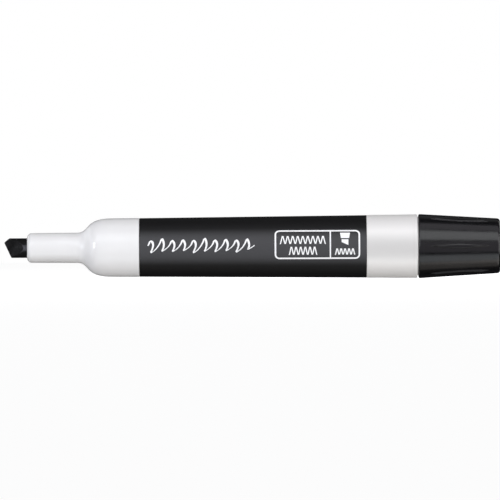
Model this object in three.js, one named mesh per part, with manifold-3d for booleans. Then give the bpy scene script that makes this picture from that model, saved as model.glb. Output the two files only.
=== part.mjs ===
// Whiteboard marker with its cap pushed on the tail. Millimetres, +Z up.
// The marker lies on its side: nib towards -X, cap towards +X. Stations along the axis are
// measured from the nib's tip, and the whole model is shifted at the end so that the origin
// is the bottom centre of its bounding box.
import * as THREE from "three";
import { mergeVertices } from "three/addons/utils/BufferGeometryUtils.js";
import Module from "manifold-3d";

const wasm = await Module();
wasm.setup();

// ---- driving dimensions -------------------------------------------------------------
const sides = 24; // flats round every turned piece, one of them straight down
const slipFit = 0.06; // radial clearance where one piece slides or is pressed into another
const faceGap = 0.05; // axial clearance where two pieces meet end to end

const nib = {
  diameter: 5.3,
  projection: 6.2, // how far the nib stands out of the neck
  cutDepth: 1.94, // how far back the chisel cut runs at its low side
  tipHeight: 1.46, // the tip's height above the axis
  bevelDepth: 1.4, // the short bevel from the tip to the upper side
  wedgeLength: 5.2, // how far back the two wide faces start to close on the edge
  edgeThickness: 0.9,
};

const neck = {
  wall: 1.27, // round the nib's socket, at the front
  draft: 0.09, // how much the neck's radius grows towards the flare
  length: 13.43,
  edgeRadius: 1.2,
  ventWidth: 0.7, // air grooves along the nib socket
  ventDepth: 0.45,
  ventCount: 4,
};

const flare = {
  length: 9.18,
  neckPull: 0.392, // how long the curve holds the neck's direction, as a share of its length
  barrelPull: 0.793, // and the barrel's
};

const barrel = {
  bore: 13.9,
  frontWall: 0.93, // over the bore, where the flare ends
  draft: 0.7, // how much the radius grows from there to the rear of the white band
  shoulderLength: 7.64, // from the flare's end to the label
  bandLength: 13.47, // behind the label
  spigotWall: 0.85, // of the reduced tail that takes the cap
  spigotLength: 6.0,
  socketDepth: 8.0, // how far the front section's own spigot enters the tube
  edge: 0.35, // chamfer at the rear of the band and of the tail
};

const label = {
  length: 61.35,
  thickness: 0.12,
  sink: 0.03, // how far the film lies below the barrel's surface
};

const chamber = {
  wall: 0.85, // of the front section's rear spigot
  frontWall: 1.6, // solid behind the flare, in front of the chamber
  socketLength: 9.0, // length of the nib's close-fitting socket
};

const reservoir = {
  sideGap: 0.09, // between the film and the front section's chamber
  filmThickness: 0.14,
  nibPocketDepth: 5.0,
  endGap: 0.3, // left free at each end of the core, and behind the nib in its pocket
};

const plug = {
  headThickness: 1.2,
  headInset: 0.25, // how far the head's edge lies inside the tail's surface
  skirtLength: 7.0,
  skirtWall: 1.0,
  vaneThickness: 0.9,
  vaneCount: 2, // each vane spans the whole skirt
};

const cap = {
  mouthWall: 0.815,
  draft: 1.305, // how much the radius shrinks from the mouth to the end
  nibRoom: 1.47, // left in front of the nib when the cap's mouth is at the foot of the flare
  mouthGap: 0.5, // between the band and the cap's mouth when the cap is pushed home
  mouthEdge: 0.4,
  endEdge: 0.6,
  endWall: 1.0,
  sideWall: 1.0,
};

const rib = {
  count: 6,
  width: 1.6,
  height: 0.3,
  margin: 3.2, // from the cap's mouth to the rib, and from the rib to the cap's end
  root: 0.3, // how far the rib's body is sunk in the cap's wall
};

const liner = {
  wall: 0.85,
  flangeThickness: 0.9,
  mouthSetback: 1.0, // from the shoulder inside the cap
};

// ---- stations and radii that follow from them ------------------------------------------
const neckFront = nib.projection;
const flareFoot = neckFront + neck.length;
const flareEnd = flareFoot + flare.length;
const labelFront = flareEnd + barrel.shoulderLength;
const labelRear = labelFront + label.length;
const bandRear = labelRear + barrel.bandLength;
const spigotRear = bandRear + barrel.spigotLength;
const capMouth = bandRear + cap.mouthGap;
const capLength = nib.projection + neck.length + cap.nibRoom + cap.endWall;
const capEnd = capMouth + capLength;

const nibRadius = nib.diameter / 2;
const socketRadius = nibRadius + slipFit;
const neckFrontRadius = socketRadius + neck.wall;
const neckFootRadius = neckFrontRadius + neck.draft;
const boreRadius = barrel.bore / 2;
const shoulderRadius = boreRadius + barrel.frontWall;
const spigotRadius = boreRadius + barrel.spigotWall;
const chamberRadius = boreRadius - slipFit - chamber.wall;
const filmOuter = chamberRadius - reservoir.sideGap;
const filmInner = filmOuter - reservoir.filmThickness;
const coreRadius = filmInner - slipFit;
const capBoreRadius = spigotRadius + slipFit;
const capMouthRadius = capBoreRadius + cap.mouthWall;
const plugRear = spigotRear + faceGap + plug.headThickness;
const plugFront = spigotRear - plug.skirtLength;
const chamberFront = flareEnd - chamber.frontWall;
const reservoirFront = chamberFront + reservoir.endGap;
const reservoirRear = plugFront - reservoir.endGap;

// The barrel is one straight taper from the end of the flare to the rear of the band.
function barrelRadius(station) {
  return shoulderRadius + (barrel.draft * (station - flareEnd)) / (bandRear - flareEnd);
}

// The cap is one straight taper from its mouth to its end.
function capRadius(station) {
  return capMouthRadius - (cap.draft * (station - capMouth)) / capLength;
}

// ---- making solids -----------------------------------------------------------------------
// A profile is a list of [station, radius]. The flats lie on the stated radius, so a turned
// piece is exactly as wide and high as its diameter.
function turned(profile) {
  const cornerScale = 1 / Math.cos(Math.PI / sides);
  const points = profile.map(([station, radius]) => new THREE.Vector2(radius * cornerScale, station));
  const geometry = new THREE.LatheGeometry(points, sides, Math.PI / sides, 2 * Math.PI);
  geometry.rotateZ(-Math.PI / 2);
  return geometry;
}

// A ring's profile ends where it starts.
function ring(profile) {
  return turned([...profile, profile[0]]);
}

function toSolid(geometry) {
  const bare = geometry.clone();
  bare.deleteAttribute("normal");
  bare.deleteAttribute("uv");
  const merged = mergeVertices(bare, 1e-5);
  const mesh = new wasm.Mesh({
    numProp: 3,
    vertProperties: new Float32Array(merged.attributes.position.array),
    triVerts: new Uint32Array(merged.index.array),
  });
  return new wasm.Manifold(mesh);
}

function toGeometry(solid) {
  const mesh = solid.getMesh();
  const geometry = new THREE.BufferGeometry();
  geometry.setAttribute("position", new THREE.BufferAttribute(mesh.vertProperties, mesh.numProp));
  geometry.setIndex(new THREE.BufferAttribute(mesh.triVerts, 1));
  geometry.computeVertexNormals();
  return geometry;
}

// A quarter round from one radius and station to another, as profile points.
function roundedEdge(centreStation, centreRadius, size, fromAngle, toAngle, steps = 4) {
  const points = [];
  for (let step = 0; step <= steps; step += 1) {
    const angle = THREE.MathUtils.lerp(fromAngle, toAngle, step / steps);
    points.push([centreStation + size * Math.cos(angle), centreRadius + size * Math.sin(angle)]);
  }
  return points;
}

// The nib: a round felt rod, cut slanting across its end and closed to an edge by two
// wide faces, one towards -Y and one towards +Y.
function makeNib() {
  const rear = reservoirFront + reservoir.nibPocketDepth - reservoir.endGap;
  const rod = toSolid(turned([[0, 0], [0, nibRadius], [rear, nibRadius], [rear, 0]]));

  const room = 2 * nibRadius;
  const slant = new THREE.Shape();
  slant.moveTo(nib.cutDepth, -nibRadius);
  slant.lineTo(0, nib.tipHeight);
  slant.lineTo(nib.bevelDepth, nibRadius);
  slant.lineTo(nib.bevelDepth, room);
  slant.lineTo(rear + room, room);
  slant.lineTo(rear + room, -room);
  slant.lineTo(nib.cutDepth, -room);
  const slantCut = new THREE.ExtrudeGeometry(slant, { depth: 2 * room, bevelEnabled: false });
  slantCut.translate(0, 0, -room);
  slantCut.rotateX(Math.PI / 2);

  const half = nib.edgeThickness / 2;
  const wedge = new THREE.Shape();
  wedge.moveTo(0, -half);
  wedge.lineTo(nib.wedgeLength, -nibRadius);
  wedge.lineTo(nib.wedgeLength, -room);
  wedge.lineTo(rear + room, -room);
  wedge.lineTo(rear + room, room);
  wedge.lineTo(nib.wedgeLength, room);
  wedge.lineTo(nib.wedgeLength, nibRadius);
  wedge.lineTo(0, half);
  const wedgeCut = new THREE.ExtrudeGeometry(wedge, { depth: 2 * room, bevelEnabled: false });
  wedgeCut.translate(0, 0, -room);

  return toGeometry(rod.intersect(toSolid(slantCut)).intersect(toSolid(wedgeCut)));
}

// The front section: neck, flare and shoulder outside, with the nib's socket, the
// reservoir's chamber and the spigot that is pressed into the barrel.
function makeFrontSection() {
  const socketRear = neckFront + chamber.socketLength;
  const spigotOuter = boreRadius - slipFit;
  const spigotEnd = labelFront + barrel.socketDepth;

  const curve = new THREE.CubicBezierCurve(
    new THREE.Vector2(flareFoot, neckFootRadius),
    new THREE.Vector2(flareFoot + flare.neckPull * flare.length, neckFootRadius),
    new THREE.Vector2(flareEnd - flare.barrelPull * flare.length, shoulderRadius),
    new THREE.Vector2(flareEnd, shoulderRadius),
  );
  const flarePoints = curve.getPoints(12).map((point) => [point.x, point.y]);

  const edge = Math.min(neck.edgeRadius, neck.wall);
  const body = toSolid(ring([
    [neckFront, socketRadius],
    ...roundedEdge(neckFront + edge, neckFrontRadius - edge, edge, Math.PI, Math.PI / 2),
    ...flarePoints,
    [labelFront, barrelRadius(labelFront)],
    [labelFront, spigotOuter],
    [spigotEnd, spigotOuter],
    [spigotEnd, chamberRadius],
    [chamberFront, chamberRadius],
    [chamberFront, socketRadius + neck.ventDepth],
    [socketRear, socketRadius + neck.ventDepth],
    [socketRear, socketRadius],
  ]));

  const grooveRun = chamber.socketLength + 2;
  const grooveHeight = socketRadius + neck.ventDepth;
  let solid = body;
  for (let index = 0; index < neck.ventCount; index += 1) {
    const groove = new THREE.BoxGeometry(grooveRun, neck.ventWidth, grooveHeight);
    groove.translate(neckFront + grooveRun / 2 - 1, 0, grooveHeight / 2);
    groove.rotateX(Math.PI / 4 + (index * 2 * Math.PI) / neck.ventCount);
    solid = solid.subtract(toSolid(groove));
  }
  return toGeometry(solid);
}

// The barrel tube: a tapered tube with a shallow seat for the label and a reduced tail.
function makeBarrelTube() {
  const front = labelFront + faceGap;
  const seat = label.thickness + label.sink + faceGap;
  return ring([
    [front, boreRadius],
    [front, barrelRadius(front) - seat],
    [labelRear, barrelRadius(labelRear) - seat],
    [labelRear, barrelRadius(labelRear)],
    [bandRear - barrel.edge, barrelRadius(bandRear)],
    [bandRear, barrelRadius(bandRear) - barrel.edge],
    [bandRear, spigotRadius],
    [spigotRear - barrel.edge, spigotRadius],
    [spigotRear, spigotRadius - barrel.edge],
    [spigotRear, boreRadius],
  ]);
}

// The label: a thin printed film wrapped once round the tube, lying in its seat.
function makeLabelSleeve() {
  const front = labelFront + 2 * faceGap;
  const rear = labelRear - faceGap;
  return ring([
    [front, barrelRadius(front) - label.sink - label.thickness],
    [front, barrelRadius(front) - label.sink],
    [rear, barrelRadius(rear) - label.sink],
    [rear, barrelRadius(rear) - label.sink - label.thickness],
  ]);
}

// The reservoir's core: a round stick of fibre with a pocket that takes the nib's tail.
function makeReservoirCore() {
  const pocketRear = reservoirFront + reservoir.nibPocketDepth;
  return turned([
    [pocketRear, 0],
    [pocketRear, socketRadius],
    [reservoirFront, socketRadius],
    [reservoirFront, coreRadius],
    [reservoirRear, coreRadius],
    [reservoirRear, 0],
  ]);
}

// The film wrapped round the core, open at both ends.
function makeReservoirFilm() {
  return ring([
    [reservoirFront, filmInner],
    [reservoirFront, filmOuter],
    [reservoirRear, filmOuter],
    [reservoirRear, filmInner],
  ]);
}

// The tail plug: a cup pressed into the tube's open end, with crossed vanes that stop
// the reservoir from sliding back.
function makeTailPlug() {
  const skirtOuter = boreRadius - slipFit;
  const skirtInner = skirtOuter - plug.skirtWall;
  const headFront = spigotRear + faceGap;
  const headRadius = spigotRadius - plug.headInset;
  const headEdge = plug.headThickness / 3;
  const cup = toSolid(turned([
    [headFront, 0],
    [headFront, skirtInner],
    [plugFront, skirtInner],
    [plugFront, skirtOuter],
    [headFront, skirtOuter],
    [headFront, headRadius],
    [plugRear - headEdge, headRadius],
    [plugRear, headRadius - headEdge],
    [plugRear, 0],
  ]));
  const vaneSpan = 2 * skirtInner + plug.skirtWall;
  const vaneLength = headFront - plugFront + plug.headThickness / 2;
  let solid = cup;
  for (let index = 0; index < plug.vaneCount; index += 1) {
    const vane = new THREE.BoxGeometry(vaneLength, plug.vaneThickness, vaneSpan);
    vane.translate(plugFront + vaneLength / 2, 0, 0);
    vane.rotateX((index * Math.PI) / plug.vaneCount);
    solid = solid.add(toSolid(vane));
  }
  return toGeometry(solid);
}

// Where the bore inside the cap narrows, the plug's head comes to rest.
const capShoulder = plugRear + faceGap;

// One raised grip rib on the cap: a long lens, pointed at both ends, on the cap's slope.
function makeRib(turn) {
  const halfLength = capLength / 2 - rib.margin;
  const halfWidth = rib.width / 2;
  const outline = new THREE.Shape();
  outline.moveTo(-halfLength, 0);
  outline.quadraticCurveTo(0, -2 * halfWidth, halfLength, 0);
  outline.quadraticCurveTo(0, 2 * halfWidth, -halfLength, 0);
  const thickness = rib.root + rib.height;
  const geometry = new THREE.ExtrudeGeometry(outline, {
    depth: thickness,
    bevelEnabled: false,
    curveSegments: 8,
  });
  const middle = capMouth + capLength / 2;
  const slope = Math.atan(cap.draft / capLength);
  geometry.translate(0, 0, -rib.root);
  geometry.rotateY(slope);
  geometry.translate(middle, 0, capRadius(middle));
  geometry.rotateX(Math.PI / 2 + turn);
  return toSolid(geometry);
}

// The cap's shell: a tapered cup with a bore for the barrel's tail, a shoulder that stops
// it and six grip ribs.
function makeCapShell() {
  const innerEnd = capEnd - cap.endWall;
  const endRadius = capRadius(capEnd);
  const { mouthEdge, endEdge } = cap;
  const cup = toSolid(turned([
    [innerEnd, 0],
    [innerEnd, endRadius - cap.sideWall],
    [capShoulder, capRadius(capShoulder) - cap.sideWall],
    [capShoulder, capBoreRadius],
    [capMouth, capBoreRadius],
    ...roundedEdge(capMouth + mouthEdge, capMouthRadius - mouthEdge, mouthEdge, Math.PI, Math.PI / 2),
    ...roundedEdge(capEnd - endEdge, endRadius - endEdge, endEdge, Math.PI / 2, 0),
    [capEnd, 0],
  ]));
  let solid = cup;
  for (let index = 0; index < rib.count; index += 1) {
    solid = solid.add(makeRib((index * 2 * Math.PI) / rib.count));
  }
  return toGeometry(solid);
}

// The cap's liner: the inner tube that closes round the neck when the cap is on the nib,
// with a flange seated on the cap's end wall.
function makeCapLiner() {
  const inner = neckFootRadius + slipFit;
  const outer = inner + liner.wall;
  const front = capShoulder + liner.mouthSetback;
  const rear = capEnd - cap.endWall - faceGap;
  const flangeFront = rear - liner.flangeThickness;
  const flangeRadius = capRadius(capEnd) - cap.sideWall - 2 * slipFit;
  return ring([
    [front, inner],
    [front, outer],
    [flangeFront, outer],
    [flangeFront, flangeRadius],
    [rear, flangeRadius],
    [rear, inner],
  ]);
}

// ---- the assembly --------------------------------------------------------------------------
function material(color, roughness) {
  return new THREE.MeshStandardMaterial({ color, roughness, metalness: 0 });
}

const whitePlastic = material(0xf2f2f4, 0.3);
const blackPlastic = material(0x111113, 0.2);
const labelFilm = material(0x17171a, 0.45);
const inkedFelt = material(0x0c0c0d, 0.85);
const inkedFibre = material(0x1b1b22, 0.95);
const clearFilm = material(0xcfd3d6, 0.25);
const linerPlastic = material(0xdedfe2, 0.35);

const marker = new THREE.Group();
marker.position.set(-capEnd / 2, 0, capMouthRadius);

function place(name, geometry, finish) {
  const mesh = new THREE.Mesh(geometry, finish);
  mesh.name = name;
  marker.add(mesh);
}

place("nib", makeNib(), inkedFelt);
place("front_section", makeFrontSection(), whitePlastic);
place("barrel_tube", makeBarrelTube(), whitePlastic);
place("label_sleeve", makeLabelSleeve(), labelFilm);
place("reservoir_core", makeReservoirCore(), inkedFibre);
place("reservoir_film", makeReservoirFilm(), clearFilm);
place("tail_plug", makeTailPlug(), whitePlastic);
place("cap_shell", makeCapShell(), blackPlastic);
place("cap_liner", makeCapLiner(), linerPlastic);

const group = new THREE.Group();
group.add(marker);

export default group;
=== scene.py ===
import math

import bmesh
import bpy
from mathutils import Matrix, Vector, noise


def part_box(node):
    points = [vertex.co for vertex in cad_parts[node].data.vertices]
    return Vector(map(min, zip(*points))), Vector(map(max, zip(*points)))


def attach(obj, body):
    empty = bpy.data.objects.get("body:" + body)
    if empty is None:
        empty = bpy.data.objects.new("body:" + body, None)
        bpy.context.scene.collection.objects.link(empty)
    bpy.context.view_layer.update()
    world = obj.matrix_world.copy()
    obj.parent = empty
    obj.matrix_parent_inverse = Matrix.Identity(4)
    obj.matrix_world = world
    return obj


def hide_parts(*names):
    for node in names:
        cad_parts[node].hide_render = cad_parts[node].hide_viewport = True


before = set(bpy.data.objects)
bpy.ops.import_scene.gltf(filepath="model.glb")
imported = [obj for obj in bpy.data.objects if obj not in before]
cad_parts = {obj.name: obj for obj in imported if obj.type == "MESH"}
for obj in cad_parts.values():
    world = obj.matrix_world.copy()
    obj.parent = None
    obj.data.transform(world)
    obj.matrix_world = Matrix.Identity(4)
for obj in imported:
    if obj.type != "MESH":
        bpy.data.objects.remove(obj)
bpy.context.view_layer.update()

bl_info = {
    "name": "Whiteboard Marker",
    "version": (1, 0, 0),
    "blender": (4, 5, 0),
    "location": "View3D > Sidebar > Marker",
    "description": "Builds the visible pieces of a chisel-tip whiteboard marker around its frame",
    "category": "Object",
}

MM = 0.001
MARKER_BODY = "marker"
CAP_BODY = "cap"

# Edges sharper than this angle stay crisp, and points closer than this many metres are one point
SHARP_ANGLE = math.radians(35)
SAME_PLACE = 1e-7
# The gap between faces that meet, and the roundings of small moulded edges
FACE_GAP = 0.05 * MM
FILM_EDGE = 0.03 * MM
CRISP_EDGE = 0.04 * MM
FINE_EDGE = 0.1 * MM
SMALL_EDGE = 0.15 * MM
SOFT_EDGE = 0.2 * MM
ROUND_EDGE = 0.25 * MM


# ---- places read from the frame ----


def ends(node):
    """The lowest and highest station of a node along the marker's axis."""
    low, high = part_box(node)
    return low.x, high.x


def half_height(node):
    """A turned node's largest radius."""
    low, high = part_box(node)
    return (high.z - low.z) / 2


AXIS_Z = (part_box("cap_shell")[0].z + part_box("cap_shell")[1].z) / 2
NIB_TIP, NIB_REAR = ends("nib")
NECK_FRONT, SPIGOT_REAR = ends("front_section")
TUBE_FRONT, TUBE_REAR = ends("barrel_tube")
LABEL_FRONT, LABEL_REAR = ends("label_sleeve")
CORE_FRONT, CORE_REAR = ends("reservoir_core")
PLUG_FRONT, PLUG_REAR = ends("tail_plug")
CAP_MOUTH, CAP_END = ends("cap_shell")
LINER_FRONT, LINER_REAR = ends("cap_liner")
NIB_RADIUS = half_height("nib")
SHOULDER_RADIUS = half_height("front_section")
BAND_RADIUS = half_height("barrel_tube")
LABEL_RADIUS = half_height("label_sleeve")
CORE_RADIUS = half_height("reservoir_core")
FILM_RADIUS = half_height("reservoir_film")
HEAD_RADIUS = half_height("tail_plug")
CAP_RADIUS = half_height("cap_shell")
FLANGE_RADIUS = half_height("cap_liner")


# ---- settings ----


def length(name, description, millimetres):
    """A size that is given in millimetres and kept in metres."""
    return bpy.props.FloatProperty(
        name=name, description=description, default=millimetres * MM, unit="LENGTH", precision=5
    )


def factor(name, description, default, top=1.0):
    """A plain number from 0 to a highest value."""
    return bpy.props.FloatProperty(
        name=name, description=description, default=default, min=0.0, max=top, subtype="FACTOR"
    )


def colour(name, description, default):
    """A colour as three linear shares."""
    return bpy.props.FloatVectorProperty(
        name=name, description=description, default=default, size=3, min=0.0, max=1.0, subtype="COLOR"
    )


class NibSettings(bpy.types.PropertyGroup):
    """Sizes and colour of the felt nib"""

    cut_depth: length("Cut depth", "How far back the chisel cut runs at its low side", 1.94)
    tip_height: length("Tip height", "The tip's height above the axis", 1.46)
    bevel_depth: length("Bevel depth", "The short bevel from the tip to the upper side", 1.4)
    wedge_length: length("Wedge length", "How far back the two wide faces start to close", 5.2)
    edge_thickness: length("Edge thickness", "Thickness of the writing edge", 0.9)
    edge_round: length("Edge rounding", "Rounding of the cut edges", 0.16)
    grain: length("Felt grain", "Spacing of the points of the felt's surface", 0.11)
    fuzz: length("Fuzz", "Height of the felt's unevenness", 0.022)
    ink: colour("Ink", "Colour of the inked felt with painted sheen", (0.0025, 0.0025, 0.0028))


class FrontSettings(bpy.types.PropertyGroup):
    """Sizes and colour of the white front section"""

    neck_front_radius: length("Neck radius", "Radius of the neck at its front", 3.98)
    neck_draft: length("Neck draft", "Growth of the neck's radius towards the flare", 0.09)
    neck_length: length("Neck length", "From the front of the neck to the foot of the flare", 13.43)
    neck_edge: length("Neck edge", "Rounding at the front of the neck", 1.3)
    flare_length: length("Flare length", "From the foot of the flare to the shoulder", 9.18)
    shoulder_radius: length("Shoulder radius", "Radius where the flare ends", 7.88)
    neck_pull: factor("Neck pull", "How long the flare holds the neck's direction", 0.392)
    barrel_pull: factor("Barrel pull", "How long the flare holds the barrel's direction", 0.793)
    socket_gap: length("Socket gap", "Clearance round the nib", 0.06)
    socket_length: length("Socket length", "Length of the nib's close-fitting socket", 9.0)
    vent_depth: length("Vent depth", "Depth of the air grooves beside the nib", 0.45)
    vent_width: length("Vent width", "Width of the air grooves beside the nib", 0.7)
    chamber_radius: length("Chamber radius", "Radius of the reservoir's front chamber", 6.04)
    front_wall: length("Front wall", "Solid between the flare's end and the chamber", 1.6)
    spigot_radius: length("Spigot radius", "Radius of the spigot pressed into the barrel", 6.89)
    plastic: colour("Plastic", "Colour of the white plastic", (0.786, 0.781, 0.77))


class BarrelSettings(bpy.types.PropertyGroup):
    """Sizes and colour of the barrel tube"""

    bore_radius: length("Bore radius", "Radius of the tube's bore", 6.95)
    tail_radius: length("Tail radius", "Radius of the tail that takes the cap", 7.8)
    tail_length: length("Tail length", "Length of the tail that takes the cap", 5.8)
    label_seat: length("Label seat", "Depth of the seat that the label lies in", 0.2)
    edge: length("Edge", "Rounding of the rear edges", 0.14)
    tail_fillet: length("Tail fillet", "Fillet between the band's rear face and the tail", 0.25)
    plastic: colour("Plastic", "Colour of the band behind the label", (0.81, 0.797, 0.776))


class LabelSettings(bpy.types.PropertyGroup):
    """Sizes and colours of the label and what is printed on it"""

    thickness: length("Thickness", "Thickness of the film", 0.12)
    seam_width: length("Seam width", "Overlap of the film at the back", 2.4)
    seam_height: length("Seam height", "Height of the overlap", 0.028)
    print_height: length("Print height", "Thickness of the printed ink", 0.012)
    line: length("Line", "Width of the panel's outline", 0.43)
    film: colour("Film", "Colour of the label film", (0.004, 0.004, 0.0042))
    ink: colour("Print", "Colour of the printed ink", (0.92, 0.92, 0.92))


class ReservoirSettings(bpy.types.PropertyGroup):
    """Sizes and colours of the ink reservoir"""

    film_thickness: length("Film thickness", "Thickness of the wrapping film", 0.14)
    pocket_depth: length("Pocket depth", "Depth of the pocket that takes the nib", 5.0)
    fibre: colour("Fibre", "Colour of the inked fibre", (0.012, 0.012, 0.017))
    wrap: colour("Wrap", "Colour of the wrapping film", (0.58, 0.6, 0.62))


class PlugSettings(bpy.types.PropertyGroup):
    """Sizes and colour of the tail plug"""

    head_thickness: length("Head thickness", "Thickness of the plug's head", 1.2)
    skirt_radius: length("Skirt radius", "Radius of the skirt pressed into the bore", 6.89)
    skirt_wall: length("Skirt wall", "Wall of the skirt", 1.0)
    vane_thickness: length("Vane thickness", "Thickness of the crossed vanes", 0.9)
    plastic: colour("Plastic", "Colour of the plug", (0.83, 0.83, 0.84))


class CapSettings(bpy.types.PropertyGroup):
    """Sizes and colours of the cap and its liner"""

    draft: length("Draft", "How much the radius shrinks from the mouth to the end", 1.305)
    bore_radius: length("Bore radius", "Radius of the bore that takes the barrel's tail", 7.86)
    bore_depth: length("Bore depth", "Depth of that bore", 6.79)
    side_wall: length("Side wall", "Wall behind the bore", 1.0)
    end_wall: length("End wall", "Thickness of the closed end", 1.0)
    mouth_edge: length("Mouth edge", "Rounding at the mouth", 0.45)
    end_edge: length("End edge", "Rounding at the closed end", 0.9)
    rib_width: length("Rib width", "Width of a grip rib", 1.3)
    rib_height: length("Rib height", "Height of a grip rib", 0.3)
    rib_flank: factor("Rib flank", "Slope of a grip rib's sides, as rise over run", 1.5, top=4.0)
    rib_margin: length("Rib margin", "From the mouth or the end to the rib", 3.2)
    rib_count: bpy.props.IntProperty(name="Ribs", description="Grip ribs round the cap", default=6, min=0)
    liner_bore: length("Liner bore", "Radius of the liner's bore", 4.13)
    liner_wall: length("Liner wall", "Wall of the liner", 0.85)
    liner_flange: length("Liner flange", "Thickness of the liner's flange", 0.9)
    lip_height: length("Lip height", "Height of the liner's sealing lips", 0.05)
    plastic: colour("Plastic", "Colour of the cap", (0.0035, 0.0035, 0.004))
    liner: colour("Liner", "Colour of the liner", (0.78, 0.78, 0.8))


class StageSettings(bpy.types.PropertyGroup):
    """The floor, the lights and the camera"""

    view_width: length("View width", "Width that the view shows at the marker", 135.0)
    aim_x: length("Aim along", "Where the camera aims along the axis", -0.6)
    aim_below: length("Aim below", "How far below the axis the camera aims", 0.82)
    camera_distance: length("Camera distance", "From the camera to the axis", 2000.0)
    roll: bpy.props.FloatProperty(
        name="Roll", description="The camera's roll", default=math.radians(0.28), subtype="ANGLE"
    )
    light_distance: length("Light distance", "From the lights to the marker", 480.0)
    floor_size: length("Floor size", "Side of the floor", 6000.0)
    floor: colour("Floor", "Colour of the floor", (0.92, 0.92, 0.92))


# ---- making meshes ----


def soften(corners, steps=7):
    """A profile from corners (station, radius, rounding): each rounded corner becomes an arc,
    with a point close before and after it that keeps the long faces evenly shaded."""
    support = 0.12 * MM
    most_support = 0.3
    most_side = 0.96
    count = len(corners)
    points = []
    for index, (x, r, rounding) in enumerate(corners):
        here = Vector((x, r))
        before = Vector(corners[index - 1][:2])
        after = Vector(corners[(index + 1) % count][:2])
        if rounding <= 0:
            points.append(here)
            continue
        back = (before - here).normalized()
        on = (after - here).normalized()
        half = back.angle(on) / 2
        reach = rounding / math.tan(half)
        for other in (corners[index - 1], corners[(index + 1) % count]):
            share = most_side * rounding / (rounding + other[2])
            reach = min(reach, share * (Vector(other[:2]) - here).length)
        size = reach * math.tan(half)
        centre = here + (back + on).normalized() * (size / math.sin(half))
        start = here + back * reach
        stop = here + on * reach
        points.append(start + back * min(support, most_support * (before - start).length))
        first = start - centre
        turn = first.angle_signed(stop - centre)
        for step in range(steps + 1):
            angle = turn * step / steps
            cos, sin = math.cos(angle), math.sin(-angle)
            arm = Vector((first.x * cos - first.y * sin, first.x * sin + first.y * cos))
            points.append(centre + arm)
        points.append(stop + on * min(support, most_support * (after - stop).length))
    return [(p.x, p.y) for p in points]


def turned(name, profile, sides=192, shape=None, angles=None):
    """A solid turned round the marker's axis from a closed profile of (station, radius).
    shape(station, radius, angle) may change the radius; angle 0 faces -Y and 90 degrees is up."""
    mesh_points = []
    rows = []
    angles = angles or [2 * math.pi * side / sides for side in range(sides)]
    sides = len(angles)
    for x, r in profile:
        if r < SAME_PLACE:
            rows.append([len(mesh_points)] * sides)
            mesh_points.append((x, 0.0, AXIS_Z))
            continue
        row = []
        for angle in angles:
            radius = shape(x, r, angle) if shape else r
            row.append(len(mesh_points))
            mesh_points.append((x, -radius * math.cos(angle), AXIS_Z + radius * math.sin(angle)))
        rows.append(row)
    faces = []
    for index, row in enumerate(rows):
        onward = rows[(index + 1) % len(rows)]
        if row[0] == row[1] and onward[0] == onward[1]:
            continue
        for side in range(sides):
            after = (side + 1) % sides
            corners = [row[side], row[after], onward[after], onward[side]]
            faces.append(list(dict.fromkeys(corners)))
    mesh = bpy.data.meshes.new(name)
    mesh.from_pydata(mesh_points, [], faces)
    bm = bmesh.new()
    bm.from_mesh(mesh)
    return from_bmesh(name, bm, mesh)


def from_bmesh(name, bm, mesh=None):
    """Finishes a bmesh: outward faces, smooth shading up to a sharp angle, linked to the scene."""
    bmesh.ops.recalc_face_normals(bm, faces=bm.faces)
    mesh = mesh or bpy.data.meshes.new(name)
    bm.to_mesh(mesh)
    bm.free()
    mesh.shade_smooth()
    mesh.set_sharp_from_angle(angle=SHARP_ANGLE)
    piece = bpy.data.objects.new(name, mesh)
    bpy.context.scene.collection.objects.link(piece)
    return piece


def apply_modifiers(piece):
    """Replaces a piece's mesh by the one its modifiers make."""
    graph = bpy.context.evaluated_depsgraph_get()
    mesh = bpy.data.meshes.new_from_object(piece.evaluated_get(graph))
    piece.modifiers.clear()
    piece.data = mesh
    return mesh


def join_solid(piece, other):
    """Adds another closed solid to a piece and removes the other."""
    modifier = piece.modifiers.new("join", "BOOLEAN")
    modifier.operation = "UNION"
    modifier.solver = "EXACT"
    modifier.object = other
    apply_modifiers(piece)
    bpy.data.objects.remove(other)


def finish_piece(piece, material, body, slot, *nodes):
    """Gives a piece its material and its body, and hides the CAD nodes that it replaces. The slot is not
    used.
    """
    piece.data.materials.clear()
    piece.data.materials.append(material)
    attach(piece, body)
    if nodes:
        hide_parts(*nodes)


# ---- making materials ----


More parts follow.
